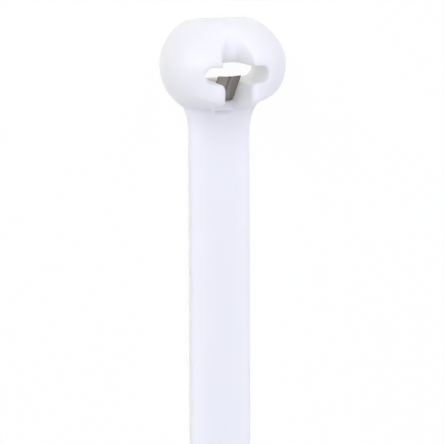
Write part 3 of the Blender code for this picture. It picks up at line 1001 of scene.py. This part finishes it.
def seen_directly(tree):
    """1 for rays from the camera, in reflections and through glass, and 0 for lighting."""
    path = add_node(tree, "ShaderNodeLightPath", {})
    mirrored = add_node(
        tree,
        "ShaderNodeMath",
        {0: path.outputs["Is Camera Ray"], 1: path.outputs["Is Glossy Ray"]},
        operation="MAXIMUM",
    )
    seen = add_node(
        tree,
        "ShaderNodeMath",
        {0: mirrored.outputs[0], 1: path.outputs["Is Transmission Ray"]},
        operation="MAXIMUM",
    )
    return seen.outputs[0]


def add_floor():
    """The opal sheet: light comes up through it, and the camera sees it nearly plain white."""
    mesh = bpy.data.meshes.new("floor")
    half = FLOOR_SIZE / 2
    corners = [(-half, -half, 0), (half, -half, 0), (half, half, 0), (-half, half, 0)]
    mesh.from_pydata(corners, [], [(0, 1, 2, 3)])
    floor = bpy.data.objects.new("floor", mesh)
    bpy.context.scene.collection.objects.link(floor)
    material, tree = new_material("opal_acrylic_sheet_cast_satin_white")
    face = add_node(tree, "ShaderNodeBsdfDiffuse", {"Color": linear(PLAIN_WHITE)})
    through = add_node(tree, "ShaderNodeBsdfTranslucent", {"Color": linear(PLAIN_WHITE)})
    seen = seen_directly(tree)
    opal = add_node(
        tree,
        "ShaderNodeMath",
        {0: seen, 1: -OPAL_SHARE, 2: OPAL_SHARE},
        operation="MULTIPLY_ADD",
    )
    lit = add_node(
        tree,
        "ShaderNodeMixShader",
        {0: opal.outputs[0], 1: face.outputs[0], 2: through.outputs[0]},
    )
    white = add_node(tree, "ShaderNodeEmission", {"Color": linear(PLAIN_WHITE), "Strength": 1.0})
    amount = add_node(tree, "ShaderNodeMath", {0: seen, 1: WHITE_SHARE}, operation="MULTIPLY")
    both = add_node(
        tree,
        "ShaderNodeMixShader",
        {0: amount.outputs[0], 1: lit.outputs[0], 2: white.outputs[0]},
    )
    add_node(tree, "ShaderNodeOutputMaterial", {"Surface": both.outputs[0]})
    mesh.materials.append(material)


add_floor()
print("floor, m:", FLOOR_SIZE)

# %% Light
ROOM_OVERHEAD = 1.74
ROOM_AT_FLOOR = 0.05
ROOM_FOCUS = 2.0
ROOM_COLOUR = "#eeefff"
UNDER_FLOOR = 1.7
UNDER_COLOUR = "#fffdfb"
BOX_DISTANCE = 0.4
BOX_SIZE = 0.22
LEFT_BOX = 2.2
RIGHT_BOX = 1.2
# Each place is two angles in degrees: off upright, and towards the nose.
LEFT_PLACE = (-46, 35)
RIGHT_PLACE = (45, 44)


def light_room():
    """The room's light on the tie. The camera and reflections see plain white instead."""
    world = bpy.data.worlds.new("room")
    bpy.context.scene.world = world
    world.use_nodes = True
    tree = world.node_tree
    tree.nodes.clear()
    direction = add_node(tree, "ShaderNodeTexCoord", {}).outputs["Generated"]
    upward = add_node(tree, "ShaderNodeSeparateXYZ", {0: direction}).outputs["Z"]
    focused = add_node(tree, "ShaderNodeMath", {0: upward, 1: ROOM_FOCUS}, operation="POWER")
    above = add_node(
        tree,
        "ShaderNodeMapRange",
        {"Value": focused.outputs[0], "To Min": ROOM_AT_FLOOR, "To Max": ROOM_OVERHEAD},
    )
    under = add_node(tree, "ShaderNodeMath", {0: upward, 1: 0.0}, operation="LESS_THAN")
    strength = add_node(
        tree,
        "ShaderNodeMix",
        {0: under.outputs[0], 2: above.outputs[0], 3: UNDER_FLOOR},
        data_type="FLOAT",
    )
    tint = add_node(
        tree,
        "ShaderNodeMix",
        {0: under.outputs[0], 6: linear(ROOM_COLOUR), 7: linear(UNDER_COLOUR)},
        data_type="RGBA",
    )
    room = add_node(
        tree,
        "ShaderNodeBackground",
        {"Color": tint.outputs[2], "Strength": strength.outputs[0]},
    )
    white = add_node(tree, "ShaderNodeBackground", {"Color": linear(PLAIN_WHITE), "Strength": 1.0})
    both = add_node(
        tree,
        "ShaderNodeMixShader",
        {0: seen_directly(tree), 1: room.outputs[0], 2: white.outputs[0]},
    )
    add_node(tree, "ShaderNodeOutputWorld", {"Surface": both.outputs[0]})


def add_soft_box(name, off_upright, to_nose, radiance):
    """A square lamp off to one side of upright and towards the nose, facing the slot."""
    direction = Vector(
        (
            math.sin(math.radians(off_upright)) * math.cos(math.radians(to_nose)),
            math.sin(math.radians(to_nose)),
            math.cos(math.radians(off_upright)) * math.cos(math.radians(to_nose)),
        )
    )
    data = bpy.data.lights.new(name, "AREA")
    data.size = BOX_SIZE
    data.energy = radiance * math.pi * BOX_SIZE**2
    lamp = bpy.data.objects.new(name, data)
    lamp.location = slot_place + direction * BOX_DISTANCE
    lamp.rotation_euler = direction.to_track_quat("Z", "Y").to_euler()
    lamp.visible_camera = False
    bpy.context.scene.collection.objects.link(lamp)


light_room()
add_soft_box("soft_box_left", *LEFT_PLACE, LEFT_BOX)
add_soft_box("soft_box_right", *RIGHT_PLACE, RIGHT_BOX)
